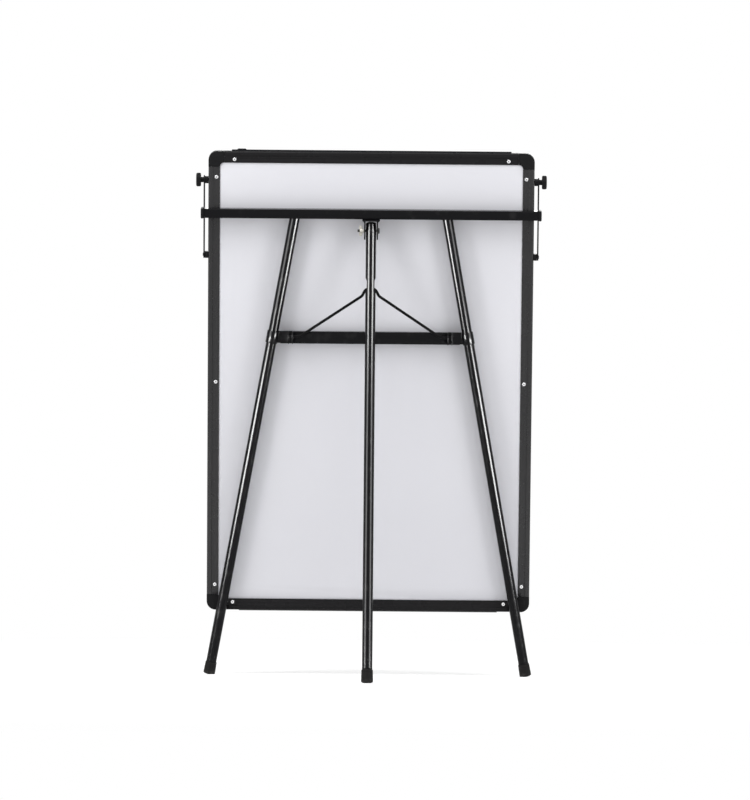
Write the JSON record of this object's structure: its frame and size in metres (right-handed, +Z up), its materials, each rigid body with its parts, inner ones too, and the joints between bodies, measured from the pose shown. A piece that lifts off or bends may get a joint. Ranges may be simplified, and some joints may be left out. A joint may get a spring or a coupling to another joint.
{
  "type": "flip chart easel",
  "caption": "Folding flip chart easel: framed writing board that slides on a black tubular stand with telescoping legs, paper clamp, pad hooks and pen tray.",
  "frame": {"origin": "centre of the bounding box's base, on the floor", "axes": "+X to the right of a person in front of the board, -Y towards that person, +Z up"},
  "size_m": [0.7526, 0.4692, 1.1352],
  "materials": {
    "black_steel": "gloss black paint on steel",
    "black_rail": "charcoal anodised aluminium",
    "black_plastic": "moulded satin plastic",
    "black_rubber": "matt",
    "bright_steel": "bright zinc",
    "yellow_zinc": "yellow zinc",
    "galvanised_back": "pale zinc-coated sheet",
    "white_enamel": "gloss white enamel",
    "core_board": "paper honeycomb"
  },
  "bodies": {
    "stand": {"crossbar": "black_steel", "side_strap_left": "black_steel", "side_strap_right": "black_steel", "crossbar_cap_left": "black_plastic", "crossbar_cap_right": "black_plastic", "guide_shoe_left": "black_plastic", "guide_shoe_right": "black_plastic", "slot_nut_left": "bright_steel", "slot_nut_right": "bright_steel", "front_left_outer_leg": "black_steel", "front_right_outer_leg": "black_steel", "front_left_leg_bush": "black_plastic", "front_right_leg_bush": "black_plastic", "brace_bar": "black_steel", "brace_clip_left": "black_steel", "brace_clip_right": "black_steel", "hinge_fork": "black_steel", "hinge_bolt": "yellow_zinc"},
    "board": {"frame_rail_left": "black_rail", "frame_rail_right": "black_rail", "frame_rail_top": "black_rail", "frame_rail_bottom": "black_rail", "clamp_base": "black_rail", "pen_tray": "black_rail", "corner_top_left": "black_plastic", "corner_top_right": "black_plastic", "corner_bottom_left": "black_plastic", "corner_bottom_right": "black_plastic", "back_sheet": "galvanised_back", "board_core": "core_board", "writing_sheet": "white_enamel", "clamp_pin": "bright_steel", "clamp_spring": "bright_steel", "rivet_top_left_level": "bright_steel", "rivet_top_left_upright": "bright_steel", "rivet_top_right_level": "bright_steel", "rivet_top_right_upright": "bright_steel", "rivet_bottom_left_level": "bright_steel", "rivet_bottom_left_upright": "bright_steel", "rivet_bottom_right_level": "bright_steel", "rivet_bottom_right_upright": "bright_steel", "rivet_middle_left": "bright_steel", "rivet_middle_right": "bright_steel"},
    "clamp_jaw": {"clamp_jaw": "black_plastic"},
    "pad_hook_left": {"pad_hook_left": "black_plastic"},
    "pad_hook_right": {"pad_hook_right": "black_plastic"},
    "rear_leg": {"rear_outer_leg": "black_steel", "rear_leg_plug": "black_plastic", "rear_leg_bush": "black_plastic"},
    "stay": {"stay_wire": "black_steel"},
    "front_left_foot": {"front_left_inner_leg": "bright_steel", "front_left_foot_cap": "black_rubber"},
    "front_right_foot": {"front_right_inner_leg": "bright_steel", "front_right_foot_cap": "black_rubber"},
    "rear_foot": {"rear_inner_leg": "bright_steel", "rear_foot_cap": "black_rubber"},
    "knob_left": {"knob_left": "black_plastic"},
    "knob_right": {"knob_right": "black_plastic"},
    "wing_nut": {"wing_nut": "yellow_zinc"}
  },
  "joints": [
    {"name": "board_slide", "type": "slide", "parent": "stand", "child": "board", "axis": [0, 0.1564, 0.9877], "range_m": [-0.018, 0.73]},
    {"name": "clamp_jaw_hinge", "type": "hinge", "parent": "board", "child": "clamp_jaw", "pos_m": [0, -0.04516, 1.11194], "axis": [-1, 0, 0], "range_deg": [0, 18], "stiffness_Nm_per_rad": 1.2, "springref_deg": -28.65, "deforming": ["clamp_spring"]},
    {"name": "pad_hook_left_slide", "type": "slide", "parent": "board", "child": "pad_hook_left", "axis": [-1, 0, 0], "range_m": [-0.07, 0.14]},
    {"name": "pad_hook_right_slide", "type": "slide", "parent": "board", "child": "pad_hook_right", "axis": [1, 0, 0], "range_m": [-0.07, 0.14]},
    {"name": "rear_leg_fold", "type": "hinge", "parent": "stand", "child": "rear_leg", "pos_m": [0, -0.01367, 0.95913], "axis": [1, 0, 0], "range_deg": [-22.8, 0]},
    {"name": "stay_fold", "type": "hinge", "parent": "stand", "child": "stay", "pos_m": [0, -0.0497, 0.73167], "axis": [1, 0, 0], "range_deg": [0, 26.4]},
    {"name": "front_left_leg_slide", "type": "slide", "parent": "stand", "child": "front_left_foot", "axis": [-0.1774, -0.154, -0.972], "range_m": [0, 0.59]},
    {"name": "front_right_leg_slide", "type": "slide", "parent": "stand", "child": "front_right_foot", "axis": [0.1774, -0.154, -0.972], "range_m": [0, 0.59]},
    {"name": "rear_leg_slide", "type": "slide", "parent": "rear_leg", "child": "rear_foot", "axis": [0, 0.2397, -0.9708], "range_m": [0, 0.59]},
    {"name": "knob_left_turn", "type": "hinge", "parent": "stand", "child": "knob_left", "pos_m": [-0.3605, -0.03407, 1.06685], "axis": [-1, 0, 0], "continuous": true},
    {"name": "knob_right_turn", "type": "hinge", "parent": "stand", "child": "knob_right", "pos_m": [0.3605, -0.03407, 1.06685], "axis": [1, 0, 0], "continuous": true},
    {"name": "wing_nut_turn", "type": "hinge", "parent": "stand", "child": "wing_nut", "pos_m": [0.0153, -0.01367, 0.95913], "axis": [1, 0, 0], "continuous": true}
  ],
  "couplings": [
    {"joint": "stay_fold", "follows": "rear_leg_fold", "ratio": -1.1514}
  ]
}
